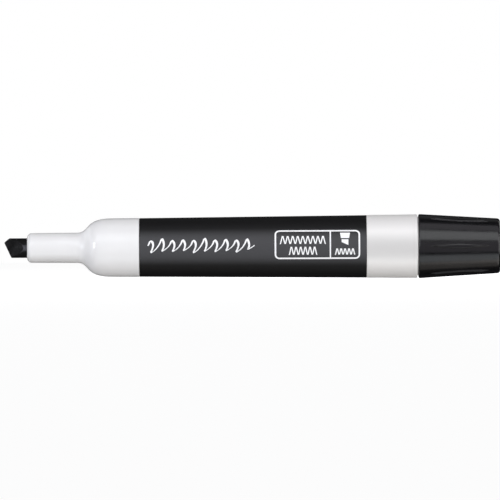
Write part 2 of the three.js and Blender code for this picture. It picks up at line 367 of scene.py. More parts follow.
class Finish:
    """A material under construction: a Principled shader and the nodes that feed it."""

    def __init__(self, name, base, roughness, ior=1.5):
        self.material = bpy.data.materials.new(name)
        self.material.use_nodes = True
        self.material.diffuse_color = (*base, 1.0)
        self.nodes = self.material.node_tree.nodes
        self.links = self.material.node_tree.links
        self.shader = self.nodes["Principled BSDF"]
        self.set("Base Color", (*base, 1.0))
        self.set("Roughness", roughness)
        self.set("IOR", ior)
        self.place = self.nodes.new("ShaderNodeTexCoord").outputs["Object"]

    def set(self, socket, value):
        """Sets one input of the shader."""
        self.shader.inputs[socket].default_value = value

    def node(self, kind, source, into, values):
        """A new node that takes a source into one of its inputs and has others set."""
        node = self.nodes.new("ShaderNode" + kind)
        for socket, value in values.items():
            node.inputs[socket].default_value = value
        self.links.new(source, node.inputs[into])
        return node

    def stretched(self, along):
        """The place on the object, in millimetres, with its share along the marker scaled."""
        scale = (along / MM, 1 / MM, 1 / MM)
        return self.node("Mapping", self.place, "Vector", {"Scale": scale}).outputs["Vector"]

    def noise(self, per_mm, along=1, detail=3.0, roughness=0.5):
        """Cloudy noise with so many lumps in a millimetre."""
        values = {"Scale": per_mm, "Detail": detail, "Roughness": roughness}
        return self.node("TexNoise", self.stretched(along), "Vector", values).outputs["Fac"]

    def cells(self, per_mm, along=1):
        """Small cells, so many in a millimetre, dark in their middles."""
        place = self.stretched(along)
        return self.node("TexVoronoi", place, "Vector", {"Scale": per_mm}).outputs["Distance"]

    def spread(self, value, low, high, start=0.3, stop=0.7):
        """Maps a value's start..stop to low..high."""
        values = {"From Min": start, "From Max": stop, "To Min": low, "To Max": high}
        return self.node("MapRange", value, "Value", values).outputs["Result"]

    def blend(self, value, dark, light, start=0.3, stop=0.7):
        """A colour between two, chosen smoothly by a value."""
        node = self.nodes.new("ShaderNodeMix")
        node.data_type = "RGBA"
        node.inputs["A"].default_value = (*dark, 1.0)
        node.inputs["B"].default_value = (*light, 1.0)
        share = self.spread(value, 0.0, 1.0, start, stop)
        share.node.interpolation_type = "SMOOTHSTEP"
        self.links.new(share, node.inputs["Factor"])
        return node.outputs["Result"]

    def plus(self, first, second, share):
        """The first value plus a share of the second."""
        node = self.nodes.new("ShaderNodeMath")
        node.operation = "MULTIPLY_ADD"
        node.inputs[1].default_value = share
        self.links.new(second, node.inputs[0])
        self.links.new(first, node.inputs[2])
        return node.outputs["Value"]

    def feed(self, output, socket):
        """Lets a node's output drive one input of the shader."""
        self.links.new(output, self.shader.inputs[socket])

    def turned_away(self):
        """How far the surface turns away from the eye: 0 when it faces it, 1 at its edge."""
        return self.nodes.new("ShaderNodeLayerWeight").outputs["Facing"]

    def bump(self, height, depth_mm):
        """Fine relief from a value, so many millimetres deep."""
        node = self.node("Bump", height, "Height", {"Distance": depth_mm * MM})
        self.feed(node.outputs["Normal"], "Normal")

    def paint_view_shade(self, edge, base, stop, grain, share):
        """Painted light or shade: the colour given as edge where the surface faces the eye, blending to
        the base colour as it turns away, up to a stop that a grain makes uneven.
        """
        self.tint(self.plus(self.turned_away(), grain, share), edge, base, 0.0, stop)

    def tint(self, *choice):
        """Lets a value choose the colour, as blend does."""
        self.feed(self.blend(*choice), "Base Color")

    def polish(self, *choice):
        """Lets a value choose the roughness, as spread does."""
        self.feed(self.spread(*choice), "Roughness")


def shade(base, share):
    """The same colour, lighter or darker."""
    return tuple(min(1.0, channel * share) for channel in base)


NECK_ROUGHNESS = 0.14
PLUG_ROUGHNESS = 0.33
LINER_ROUGHNESS = 0.36


def moulded_white(name, base, roughness):
    """Glossy moulded polypropylene: slightly wavy, finely pebbled, a little translucent."""
    finish = Finish(name, base, roughness, ior=1.49)
    finish.set("Specular IOR Level", 0.4)
    clouds = finish.noise(0.12, along=0.5)
    finish.tint(clouds, shade(base, 0.97), shade(base, 1.015))
    flow = finish.noise(1.6, along=0.15, detail=4.0)
    finish.polish(flow, roughness - 0.05, roughness + 0.07)
    pebble = finish.noise(5.0, detail=2.0)
    finish.bump(finish.plus(pebble, flow, 0.8), 0.001)
    finish.set("Subsurface Weight", 0.08)
    finish.set("Subsurface Radius", (1.0, 0.95, 0.9))
    finish.set("Subsurface Scale", 0.0006)
    return finish.material


def pearl_and_painted_shade_white(name, base):
    """White plastic with a fine pearl in it, which flowed along the mould, and painted shade that darkens
    it where it faces the eye.
    """
    finish = Finish(name, base, 0.45, ior=1.5)
    flow = finish.noise(0.5, along=0.2, detail=4.0)
    # Painted shade: darker where the barrel faces the eye, plain white once it turns away, the border
    # made uneven by the flow
    finish.paint_view_shade(shade(base, 0.75), base, 0.17, flow, 0.03)
    pearl = finish.noise(9.0, along=0.6, detail=2.0)
    finish.polish(pearl, 0.4, 0.5)
    finish.set("Metallic", 0.12)
    finish.bump(finish.plus(pearl, flow, 0.8), 0.003)
    return finish.material


def moulded_black(name, base):
    """Glossy black polypropylene with faint draw lines along the mould's pull."""
    finish = Finish(name, base, 0.2, ior=1.49)
    clouds = finish.noise(0.3, along=0.4)
    finish.tint(clouds, shade(base, 0.8), shade(base, 1.3))
    lines = finish.noise(4.0, along=0.04, detail=4.0)
    finish.polish(lines, 0.15, 0.27)
    pebble = finish.noise(3.0, detail=2.0)
    finish.bump(finish.plus(pebble, lines, 1.0), 0.0025)
    return finish.material


def printed_film(name, base):
    """The label: black ink under a satin film, with a fine tooth and a painted sheen, lighter where it
    faces the eye.
    """
    finish = Finish(name, base, 0.5, ior=1.5)
    finish.set("Specular IOR Level", 0.2)
    tooth = finish.noise(9.0, detail=2.0)
    # Painted sheen: the film is many times lighter where it faces the eye and falls to its black as it
    # turns away
    finish.paint_view_shade(shade(base, 14.5), base, 0.24, tooth, 0.02)
    clouds = finish.noise(0.35, along=0.6)
    finish.polish(clouds, 0.47, 0.54)
    finish.bump(tooth, 0.003)
    return finish.material


def printed_ink(name, base):
    """White ink printed on the film: flat, with small thin spots."""
    finish = Finish(name, base, 0.45)
    spots = finish.noise(6.0, detail=3.0)
    finish.tint(spots, shade(base, 0.9), base)
    finish.polish(spots, 0.5, 0.4)
    finish.bump(spots, 0.003)
    return finish.material


def inked_felt(name, base):
    """Pressed felt soaked with ink: short fibres mostly along the nib, shiny where wet, with a painted
    sheen lighter where it faces the eye.
    """
    finish = Finish(name, base, 0.6)
    finish.set("Specular IOR Level", 0.14)
    fibres = finish.noise(7.0, along=0.25, detail=5.0, roughness=0.65)
    pores = finish.cells(5.0, along=0.5)
    # Painted sheen: the felt is lighter where it faces the eye and falls to its black as it turns away
    finish.paint_view_shade(shade(base, 30.0), base, 0.1, fibres, 0.03)
    wet = finish.noise(0.5)
    finish.polish(finish.plus(wet, fibres, 0.3), 0.34, 0.8, 0.45, 0.75)
    finish.bump(finish.plus(fibres, pores, 0.6), 0.04)
    return finish.material


def ink_fibre(name, base):
    """The reservoir's bundled fibre, soaked with ink in uneven patches."""
    finish = Finish(name, base, 0.8)
    strands = finish.noise(9.0, along=0.03, detail=4.0)
    patches = finish.noise(0.4)
    finish.tint(patches, shade(base, 0.6), shade(base, 1.8))
    finish.polish(strands, 0.6, 0.95)
    finish.bump(strands, 0.06)
    return finish.material


def wrapping_film(name, base, ink):
    """Thin pale film, stained from inside where the fibre is wettest."""
    finish = Finish(name, base, 0.3)
    patches = finish.noise(0.35, along=0.5, detail=5.0)
    finish.tint(patches, shade(ink, 6.0), base, 0.42, 0.52)
    creases = finish.noise(1.2, along=0.3, detail=4.0)
    finish.polish(creases, 0.22, 0.4)
    finish.bump(creases, 0.03)
    return finish.material


def pale_floor(name, base):
    """A matt pale sheet that glows a little, so it stays pale under soft light."""
    finish = Finish(name, base, 0.9)
    grain = finish.noise(0.4, detail=4.0)
    finish.tint(grain, shade(base, 0.985), base)
    finish.set("Emission Color", (1.0, 1.0, 1.0, 1.0))
    finish.set("Emission Strength", 0.95)
    return finish.material


# ---- nib ----


def cut_away(bm, point, outward):
    """Cuts a convex solid with a plane, drops the outer side and closes the cut."""
    everything = bm.verts[:] + bm.edges[:] + bm.faces[:]
    cut = bmesh.ops.bisect_plane(
        bm, geom=everything, plane_co=point, plane_no=outward, clear_outer=True, dist=SAME_PLACE
    )
    rim = [item for item in cut["geom_cut"] if isinstance(item, bmesh.types.BMEdge)]
    bmesh.ops.contextual_create(bm, geom=rim)


def nib_solid(settings):
    """The felt rod with its slanted cut, its bevel and its two closing faces, in millimetres."""
    bm = bmesh.new()
    run = NIB_REAR - NIB_TIP
    bmesh.ops.create_cone(
        bm, cap_ends=True, segments=96, radius1=NIB_RADIUS, radius2=NIB_RADIUS, depth=run
    )
    for vert in bm.verts:
        vert.co = Vector((NIB_TIP + run / 2 + vert.co.z, vert.co.x, AXIS_Z + vert.co.y))
    tip = Vector((NIB_TIP, 0.0, AXIS_Z + settings.tip_height))
    low = Vector((NIB_TIP + settings.cut_depth, 0.0, AXIS_Z - NIB_RADIUS))
    high = Vector((NIB_TIP + settings.bevel_depth, 0.0, AXIS_Z + NIB_RADIUS))
    slant = (tip - low).normalized()
    cut_away(bm, tip, Vector((-slant.z, 0.0, slant.x)))
    bevel = (high - tip).normalized()
    cut_away(bm, tip, Vector((-bevel.z, 0.0, bevel.x)))
    half = settings.edge_thickness / 2
    for side in (-1, 1):
        closing = Vector((settings.wedge_length, side * (NIB_RADIUS - half), 0.0)).normalized()
        outward = Vector((-closing.y * side, closing.x * side, 0.0))
        cut_away(bm, tip + Vector((0.0, side * half, 0.0)), outward)
    least = math.radians(15)
    sharp = [edge for edge in bm.edges if edge.is_manifold and edge.calc_face_angle(0.0) > least]
    size = settings.edge_round
    bmesh.ops.bevel(
        bm, geom=sharp, offset=size, segments=3, profile=0.5, affect="EDGES", clamp_overlap=True
    )
    for vert in bm.verts:
        vert.co /= MM
    return bm


def roughen_felt(mesh, settings):
    """Lifts and sinks the surface by short fibres that run along the nib, and brings it to metres."""
    along, across, every_way = 1.2, 4.0, 1.5
    fibre_share, lump_share = 0.6, 0.4
    normals = [vert.normal.copy() for vert in mesh.vertices]
    for vert, normal in zip(mesh.vertices, normals):
        x, y, z = vert.co
        fibres = noise.noise(Vector((x * along, y * across, z * across)))
        lumps = noise.noise(Vector((x * every_way, y * every_way, z * every_way)))
        lift = fibre_share * fibres + lump_share * lumps
        vert.co = vert.co * MM + normal * settings.fuzz * lift


class MARKER_OT_nib(bpy.types.Operator):
    """Build the felt nib"""

    bl_idname = "marker.nib"
    bl_label = "Nib"

    def execute(self, context):
        settings = context.scene.marker_nib
        nib = from_bmesh("felt_nib", nib_solid(settings))
        remesh = nib.modifiers.new("felt", "REMESH")
        remesh.mode = "VOXEL"
        remesh.voxel_size = settings.grain / MM
        roughen_felt(apply_modifiers(nib), settings)
        nib.data.shade_smooth()
        finish_piece(nib, inked_felt("inked felt with painted sheen", settings.ink), MARKER_BODY, "nib_felt", "nib")
        return {"FINISHED"}


# ---- front section ----


def bezier(controls, steps):
    """Points along a cubic curve with four control points."""
    points = []
    for step in range(steps + 1):
        t = step / steps
        u = 1 - t
        weights = (u**3, 3 * u * u * t, 3 * u * t * t, t**3)
        parts = (weight * Vector(control) for weight, control in zip(weights, controls))
        points.append(sum(parts, Vector((0, 0))))
    return points


def front_profile(settings):
    """The closed outline of the neck, the flare, the shoulder, the spigot and the bore."""
    flare_steps = 32
    foot = NECK_FRONT + settings.neck_length
    flare_end = foot + settings.flare_length
    foot_radius = settings.neck_front_radius + settings.neck_draft
    controls = (
        (foot, foot_radius),
        (foot + settings.neck_pull * settings.flare_length, foot_radius),
        (flare_end - settings.barrel_pull * settings.flare_length, settings.shoulder_radius),
        (flare_end, settings.shoulder_radius),
    )
    socket = NIB_RADIUS + settings.socket_gap
    socket_rear = NECK_FRONT + settings.socket_length
    seam = TUBE_FRONT - FACE_GAP
    chamber_front = flare_end - settings.front_wall
    wide_socket = socket + settings.vent_depth
    corners = [
        (NECK_FRONT, socket, CRISP_EDGE),
        (NECK_FRONT, settings.neck_front_radius, settings.neck_edge),
        *((point.x, point.y, 0) for point in bezier(controls, flare_steps)),
        (seam, SHOULDER_RADIUS, FACE_GAP),
        (seam, settings.spigot_radius, 0),
        (SPIGOT_REAR, settings.spigot_radius, SOFT_EDGE),
        (SPIGOT_REAR, settings.chamber_radius, SOFT_EDGE),
        (chamber_front, settings.chamber_radius, 2 * SOFT_EDGE),
        (chamber_front, wide_socket, 0),
        (socket_rear, wide_socket, 0),
        (socket_rear, socket, 0),
    ]
    return soften(corners)


class MARKER_OT_front_section(bpy.types.Operator):
    """Build the white neck, flare and shoulder"""

    bl_idname = "marker.front_section"
    bl_label = "Front section"

    def execute(self, context):
        settings = context.scene.marker_front
        socket = NIB_RADIUS + settings.socket_gap
        reach = socket + settings.vent_depth
        half = settings.vent_width / 2
        foot, slope = 1.3 * half, 0.6 * half

        def vents(x, r, angle):
            """Opens the socket by four air grooves beside the nib."""
            if r > reach or x > NECK_FRONT + settings.socket_length:
                return r
            quarter = (angle % (math.pi / 2)) - math.pi / 4
            across = abs(quarter) * socket
            return r + settings.vent_depth * max(0.0, min(1.0, (foot - across) / slope))

        front = turned("neck_and_shoulder", front_profile(settings), sides=240, shape=vents)
        plastic = moulded_white("white neck plastic", settings.plastic, NECK_ROUGHNESS)
        finish_piece(front, plastic, MARKER_BODY, "white_plastic", "front_section")
        return {"FINISHED"}


# ---- barrel ----


def barrel_radius(x, context):
    """The barrel's straight taper, from the flare's end to the rear of the band."""
    front = context.scene.marker_front
    flare_end = NECK_FRONT + front.neck_length + front.flare_length
    band_rear = TUBE_REAR - context.scene.marker_barrel.tail_length
    share = (x - flare_end) / (band_rear - flare_end)
    return front.shoulder_radius + share * (BAND_RADIUS - front.shoulder_radius)


class MARKER_OT_barrel(bpy.types.Operator):
    """Build the barrel tube with its label seat and its reduced tail"""

    bl_idname = "marker.barrel"
    bl_label = "Barrel tube"

    def execute(self, context):
        settings = context.scene.marker_barrel
        band_rear = TUBE_REAR - settings.tail_length
        band_front = LABEL_REAR + FACE_GAP
        front_radius = barrel_radius(band_front, context)
        corners = [
            (TUBE_FRONT, settings.bore_radius, 0),
            (TUBE_FRONT, barrel_radius(TUBE_FRONT, context) - settings.label_seat, 0),
            (band_front, front_radius - settings.label_seat, 0),
            (band_front, front_radius, CRISP_EDGE),
            (band_rear, BAND_RADIUS, settings.edge),
            (band_rear, settings.tail_radius, settings.tail_fillet),
            (TUBE_REAR, settings.tail_radius, settings.edge),
            (TUBE_REAR, settings.bore_radius, FINE_EDGE),
        ]
        tube = turned("barrel_body", soften(corners), sides=240)
        plastic = pearl_and_painted_shade_white("pearly barrel plastic with painted shade", settings.plastic)
        finish_piece(tube, plastic, MARKER_BODY, "barrel_plastic", "barrel_tube")
        return {"FINISHED"}


# ---- label ----


def label_surface(x):
    """Radius of the label's outer surface."""
    sink = barrel_radius(LABEL_REAR, bpy.context) - LABEL_RADIUS
    return barrel_radius(x, bpy.context) - sink


class MARKER_OT_label(bpy.types.Operator):
    """Build the printed film with its overlap seam at the back"""

    bl_idname = "marker.label"
    bl_label = "Label film"

    def execute(self, context):
        settings = context.scene.marker_label
        half = settings.seam_width / 2 / LABEL_RADIUS
        steepness = 12

        def seam(x, r, angle):
            """Raises the strip at the back where the film's end laps its start."""
            if r < label_surface(x) - settings.thickness / 2:
                return r
            off = abs(angle - math.pi) / half
            return r + settings.seam_height * max(0.0, min(1.0, (1.0 - off) * steepness))

        corners = []
        steps = 24
        for step in range(steps + 1):
            x = LABEL_FRONT + (LABEL_REAR - LABEL_FRONT) * step / steps
            rounding = CRISP_EDGE if step in (0, steps) else 0
            corners.append((x, label_surface(x), rounding))
        corners.append((LABEL_REAR, label_surface(LABEL_REAR) - settings.thickness, 0))
        corners.append((LABEL_FRONT, label_surface(LABEL_FRONT) - settings.thickness, 0))
        film = turned("label_film", soften(corners, steps=4), sides=288, shape=seam)
        black = printed_film("satin black label film with painted sheen", settings.film)
        finish_piece(film, black, MARKER_BODY, "label_film", "label_sleeve")
        return {"FINISHED"}


# ---- what is printed on the label ----


def strip(bm, path, widths, closed=False):
    """Flat faces along a path of (along, up) points, each with its own width."""
    pairs = []
    count = len(path)
    for index, here in enumerate(path):
        before = path[index - 1] if closed or index else here
        after = path[(index + 1) % count] if closed or index < count - 1 else here
        way = (after - before).normalized()
        side = Vector((-way.y, way.x)) * widths[index] / 2
        pairs.append([bm.verts.new((*(here + side), 0.0)), bm.verts.new((*(here - side), 0.0))])
    for index in range(count if closed else count - 1):
        left, right = pairs[index]
        next_left, next_right = pairs[(index + 1) % count]
        bm.faces.new((left, right, next_right, next_left))


def patch(bm, corners):
    """One flat face from (along, up) corners in millimetres."""
    bm.faces.new([bm.verts.new((along * MM, up * MM, 0.0)) for along, up in corners])


def wrap_on_label(name, bm, settings):
    """Slices flat artwork finely, gives it the ink's thickness and wraps it on the label."""
    ups = [vert.co.y for vert in bm.verts]
    spacing = 0.3 * MM
    sunk = 0.002 * MM
    level = min(ups) + spacing
    while level < max(ups):
        everything = bm.verts[:] + bm.edges[:] + bm.faces[:]
        bmesh.ops.bisect_plane(
            bm, geom=everything, plane_co=(0, level, 0), plane_no=(0, 1, 0), dist=SAME_PLACE
        )
        level += spacing
    bmesh.ops.triangulate(bm, faces=bm.faces)
    bmesh.ops.recalc_face_normals(bm, faces=bm.faces)
    raised = bmesh.ops.extrude_face_region(bm, geom=bm.faces[:])
    for item in raised["geom"]:
        if isinstance(item, bmesh.types.BMVert):
            item.co.z = settings.print_height
    for vert in bm.verts:
        along, up, height = vert.co
        x = LABEL_FRONT + along
        surface = label_surface(x)
        radius = surface + height - sunk
        angle = up / surface
        vert.co = (x, -radius * math.cos(angle), AXIS_Z + radius * math.sin(angle))
    piece = from_bmesh(name, bm)
    ink = printed_ink(name.replace("_", " ") + " ink", settings.ink)
    finish_piece(piece, ink, MARKER_BODY, "label_print")


def flourish_path(start, stop, middle, heights, lean, loop, steps_per_turn=36):
    """A leaning, looping pen flourish along the label, with a height for each of its turns."""
    turns = len(heights) - 1
    steps = turns * steps_per_turn
    path = []
    for step in range(steps + 1):
        turn = step / steps_per_turn
        index = min(int(turn), turns - 1)
        ease = 0.5 - 0.5 * math.cos(math.pi * (turn - index))
        height = heights[index] + (heights[index + 1] - heights[index]) * ease
        swing = math.sin(2 * math.pi * turn)
        along = start + (stop - start) * step / steps + lean * swing * height
        along -= loop * (1 - math.cos(4 * math.pi * turn)) / 2
        path.append(Vector((along, middle + swing * height / 2)) * MM)
    return path


def broad_pen_widths(path, thin, thick, pen_angle):
    """Stroke widths as a chisel nib held at one angle draws them."""
    widths = []
    for index, here in enumerate(path):
        before = path[max(index - 1, 0)]
        after = path[min(index + 1, len(path) - 1)]
        way = after - before
        across = abs(math.sin(math.atan2(way.y, way.x) - pen_angle))
        widths.append((thin + (thick - thin) * across) * MM)
    return widths


def rounded_panel_path(left, right, bottom, top, corner, steps=8):
    """A rectangle with round corners."""
    path = []
    centres = (
        (right - corner, top - corner, 0),
        (left + corner, top - corner, 90),
        (left + corner, bottom + corner, 180),
        (right - corner, bottom + corner, 270),
    )
    for along, up, start in centres:
        for step in range(steps + 1):
            angle = math.radians(start + 90 * step / steps)
            place = (along + corner * math.cos(angle), up + corner * math.sin(angle))
            path.append(Vector(place) * MM)
    return path


def zigzag_path(left, right, bottom, top, peaks):
    """A zigzag just between two heights, its turns slightly flattened."""
    flat, inset = 0.08, 0.06
    path = []
    half = (right - left) / (2 * peaks)
    for turn in range(2 * peaks + 1):
        up = top - inset if turn % 2 else bottom + inset
        along = left + turn * half
        path += [Vector((along - flat, up)) * MM, Vector((along + flat, up)) * MM]
    return path


# Where the print lies on the label, in millimetres: along it from its front edge, and up round it
# from the middle of its side at -Y. Each turn of the flourish has a height of its own
FLOURISH_HEIGHTS = (2.2, 3.8, 2.6, 3.0, 2.4, 3.9, 2.7, 3.2, 2.5, 3.6, 1.6)
FLOURISH = {"start": 2.3, "stop": 31.0, "middle": 0.45, "lean": 0.2, "loop": 0.5}
FLOURISH_PEN = {"thin": 0.2, "thick": 0.6, "pen_angle": math.radians(35)}
PANEL = {"left": 36.63, "right": 59.2, "bottom": -3.2, "top": 4.45, "corner": 1.1}
PANEL_DIVIDER = ((51.22, -3.02), (51.58, -3.02), (51.58, 4.26), (51.22, 4.26))
ZIGZAG_PEN = 0.3
ZIGZAGS = (
    {"left": 37.9, "right": 50.1, "bottom": 0.75, "top": 2.95, "peaks": 9},
    {"left": 40.3, "right": 47.8, "bottom": -2.2, "top": 0.0, "peaks": 6},
    {"left": 52.7, "right": 58.0, "bottom": -2.2, "top": -0.5, "peaks": 5},
)
SIGN_HOLDER = ((54.0, 3.85), (56.7, 3.85), (56.45, 2.3), (54.25, 2.3))
SIGN_CHISEL = ((54.45, 1.95), (56.25, 1.95), (56.25, 0.4), (54.45, 1.2))


class MARKER_OT_label_print(bpy.types.Operator):
    """Print the label: a pen flourish, an outlined panel, rows of zigzag and a nib sign"""

    bl_idname = "marker.label_print"
    bl_label = "Label print"

    def execute(self, context):
        settings = context.scene.marker_label
        wave, panel, rows, sign = (bmesh.new() for _ in range(4))
        path = flourish_path(heights=FLOURISH_HEIGHTS, **FLOURISH)
        strip(wave, path, broad_pen_widths(path, **FLOURISH_PEN))
        outline = rounded_panel_path(**PANEL)
        strip(panel, outline, [settings.line] * len(outline), closed=True)
        patch(panel, PANEL_DIVIDER)
        for row in ZIGZAGS:
            path = zigzag_path(**row)
            strip(rows, path, [ZIGZAG_PEN * MM] * len(path))
        patch(sign, SIGN_HOLDER)
        patch(sign, SIGN_CHISEL)
        wrap_on_label("brush_wave", wave, settings)
        wrap_on_label("panel_outline", panel, settings)
        wrap_on_label("zigzag_rows", rows, settings)
        wrap_on_label("nib_sign", sign, settings)
        return {"FINISHED"}


# ---- reservoir and tail plug ----


class MARKER_OT_reservoir(bpy.types.Operator):
    """Build the ink reservoir: the fibre core and the film wrapped round it"""

    bl_idname = "marker.reservoir"
    bl_label = "Reservoir"

    def execute(self, context):
        settings = context.scene.marker_reservoir
        pocket = NIB_RADIUS + context.scene.marker_front.socket_gap
        pocket_rear = CORE_FRONT + settings.pocket_depth
        core_corners = [
            (pocket_rear, 0.0, 0),
            (pocket_rear, pocket, SOFT_EDGE),
            (CORE_FRONT, pocket, SMALL_EDGE),
            (CORE_FRONT, CORE_RADIUS, ROUND_EDGE),
            (CORE_REAR, CORE_RADIUS, ROUND_EDGE),
            (CORE_REAR, 0.0, 0),
        ]

        lump_depth = 0.02 * MM
        lumps_along, lumps_round = 0.2, 3

        def bundled(x, r, angle):
            """Lets the fibre bundle's side swell and sink a little."""
            if r < CORE_RADIUS * 0.9:
                return r
            across, up = math.cos(angle) * lumps_round, math.sin(angle) * lumps_round
            return r - lump_depth * (1 + noise.noise(Vector((x / MM * lumps_along, across, up))))

        core = turned("fibre_core", soften(core_corners), sides=160, shape=bundled)
        fibre = ink_fibre("ink fibre", settings.fibre)
        finish_piece(core, fibre, MARKER_BODY, "reservoir_fibre", "reservoir_core")

        inner = FILM_RADIUS - settings.film_thickness
        film_corners = [
            (CORE_FRONT, inner, FILM_EDGE),
            (CORE_FRONT, FILM_RADIUS, FILM_EDGE),
            (CORE_REAR, FILM_RADIUS, FILM_EDGE),
            (CORE_REAR, inner, FILM_EDGE),
        ]
        film = turned("film_wrap", soften(film_corners, steps=3), sides=160)
        wrap = wrapping_film("reservoir wrap", settings.wrap, settings.fibre)
        finish_piece(film, wrap, MARKER_BODY, "reservoir_wrap", "reservoir_film")
        return {"FINISHED"}


def slab(name, low, high):
    """A rectangular bar between two corners, with softened edges."""
    edge = 0.08 * MM
    bm = bmesh.new()
    bmesh.ops.create_cube(bm, size=1.0)
    for vert in bm.verts:
        vert.co = Vector(low[i] if vert.co[i] < 0 else high[i] for i in range(3))
    bmesh.ops.bevel(bm, geom=bm.edges[:], offset=edge, segments=2, profile=0.5, affect="EDGES")
    return from_bmesh(name, bm)


class MARKER_OT_tail_plug(bpy.types.Operator):
    """Build the plug that closes the barrel's rear end"""

    bl_idname = "marker.tail_plug"
    bl_label = "Tail plug"

    def execute(self, context):
        settings = context.scene.marker_plug
        head_front = PLUG_REAR - settings.head_thickness
        inner = settings.skirt_radius - settings.skirt_wall
        rim, slope = 1.6 * MM, 0.3 * MM
        recess = PLUG_REAR - 0.25 * MM
        dimple, dimple_floor = 1.1 * MM, PLUG_REAR - 0.45 * MM
        corners = [
            (head_front, 0.0, 0),
            (head_front, inner, 2 * SMALL_EDGE),
            (PLUG_FRONT, inner, SMALL_EDGE),
            (PLUG_FRONT, settings.skirt_radius, ROUND_EDGE),
            (head_front, settings.skirt_radius, FINE_EDGE),
            (head_front, HEAD_RADIUS, FINE_EDGE),
            (PLUG_REAR, HEAD_RADIUS, 2 * SOFT_EDGE),
            (PLUG_REAR, HEAD_RADIUS - rim, FINE_EDGE),
            (recess, HEAD_RADIUS - rim - slope, SMALL_EDGE),
            (recess, dimple, FINE_EDGE),
            (dimple_floor, dimple * 0.7, FINE_EDGE),
            (dimple_floor, 0.0, 0),
        ]
        plug = turned("end_plug", soften(corners), sides=160)
        half = settings.vane_thickness / 2
        span = inner + settings.skirt_wall / 2
        rear = head_front + settings.head_thickness / 3
        front = PLUG_FRONT + 0.02 * MM
        upright = ((front, -half, AXIS_Z - span), (rear, half, AXIS_Z + span))
        level = ((front, -span, AXIS_Z - half), (rear, span, AXIS_Z + half))
        for low, high in (upright, level):
            join_solid(plug, slab("vane", low, high))
        plug.data.shade_smooth()
        plug.data.set_sharp_from_angle(angle=SHARP_ANGLE)
        plastic = moulded_white("white plug plastic", settings.plastic, PLUG_ROUGHNESS)
        finish_piece(plug, plastic, MARKER_BODY, "plug_plastic", "tail_plug")
        return {"FINISHED"}


# ---- cap ----


def cap_surface(x, settings):
    """The cap's straight taper, from its mouth to its end."""
    return CAP_RADIUS - settings.draft * (x - CAP_MOUTH) / (CAP_END - CAP_MOUTH)


def rib_lift(x, angle, settings):
    """How far a grip rib raises the cap's surface: a long lens with steep flanks and a soft crest."""
    start = CAP_MOUTH + settings.rib_margin
    stop = CAP_END - settings.rib_margin
    share = (x - start) / (stop - start)
    if share <= 0 or share >= 1:
        return 0.0
    pitch = 2 * math.pi / settings.rib_count
    across = abs((angle + pitch / 2) % pitch - pitch / 2) * cap_surface(x, settings)
    crest_fall, sharpness = 0.4, 10
    half = settings.rib_width / 2 * (1 - (2 * share - 1) ** 2)
    if across >= half:
        return 0.0
    flank = settings.rib_flank * (half - across)
    crest = settings.rib_height * (1 - crest_fall * (across / half) ** 2)
    return 1 / (flank**-sharpness + crest**-sharpness) ** (1 / sharpness)


def rib_angles(settings):
    """Angles for the cap's mesh: close together across each rib, wider between the ribs."""
    over_rib, between = 36, 22
    reach = 0.62
    pitch = 2 * math.pi / settings.rib_count
    edge = reach * settings.rib_width / (CAP_RADIUS - settings.draft)
    angles = []
    for rib in range(settings.rib_count):
        middle = rib * pitch
        angles += [middle - edge + 2 * edge * step / over_rib for step in range(over_rib)]
        angles += [middle + edge + (pitch - 2 * edge) * step / between for step in range(between)]
    return angles


class MARKER_OT_cap(bpy.types.Operator):
    """Build the cap's shell with its grip ribs"""

    bl_idname = "marker.cap"
    bl_label = "Cap"

    def execute(self, context):
        settings = context.scene.marker_cap
        shoulder = CAP_MOUTH + settings.bore_depth
        inner_end = CAP_END - settings.end_wall
        end_radius = cap_surface(CAP_END, settings)
        dish = 0.1 * MM
        rows = 64
        first = CAP_MOUTH + settings.rib_margin * 0.95
        last = CAP_END - settings.rib_margin * 0.95
        side = [CAP_MOUTH + settings.mouth_edge * 2]
        side += [first + (last - first) * row / rows for row in range(rows + 1)]
        corners = [
            (inner_end, 0.0, 0),
            (inner_end, end_radius - settings.side_wall, 2 * ROUND_EDGE),
            (shoulder, cap_surface(shoulder, settings) - settings.side_wall, FINE_EDGE),
            (shoulder, settings.bore_radius, SMALL_EDGE),
            (CAP_MOUTH, settings.bore_radius, ROUND_EDGE),
            (CAP_MOUTH, CAP_RADIUS, settings.mouth_edge),
            *((x, cap_surface(x, settings), 0) for x in side),
            (CAP_END, end_radius, settings.end_edge),
            (CAP_END, 0.6 * end_radius, 0),
            (CAP_END - dish, 0.5 * end_radius, 2 * ROUND_EDGE),
            (CAP_END - dish, 0.0, 0),
        ]

        skin = 0.3 * MM

        def ribs(x, r, angle):
            """Raises the outer surface by the grip ribs."""
            if r < cap_surface(x, settings) - skin:
                return r
            return r + rib_lift(x, angle, settings)

        shell = turned("cap_body", soften(corners), shape=ribs, angles=rib_angles(settings))
        plastic = moulded_black("black cap plastic", settings.plastic)
        finish_piece(shell, plastic, CAP_BODY, "cap_plastic", "cap_shell")
        return {"FINISHED"}


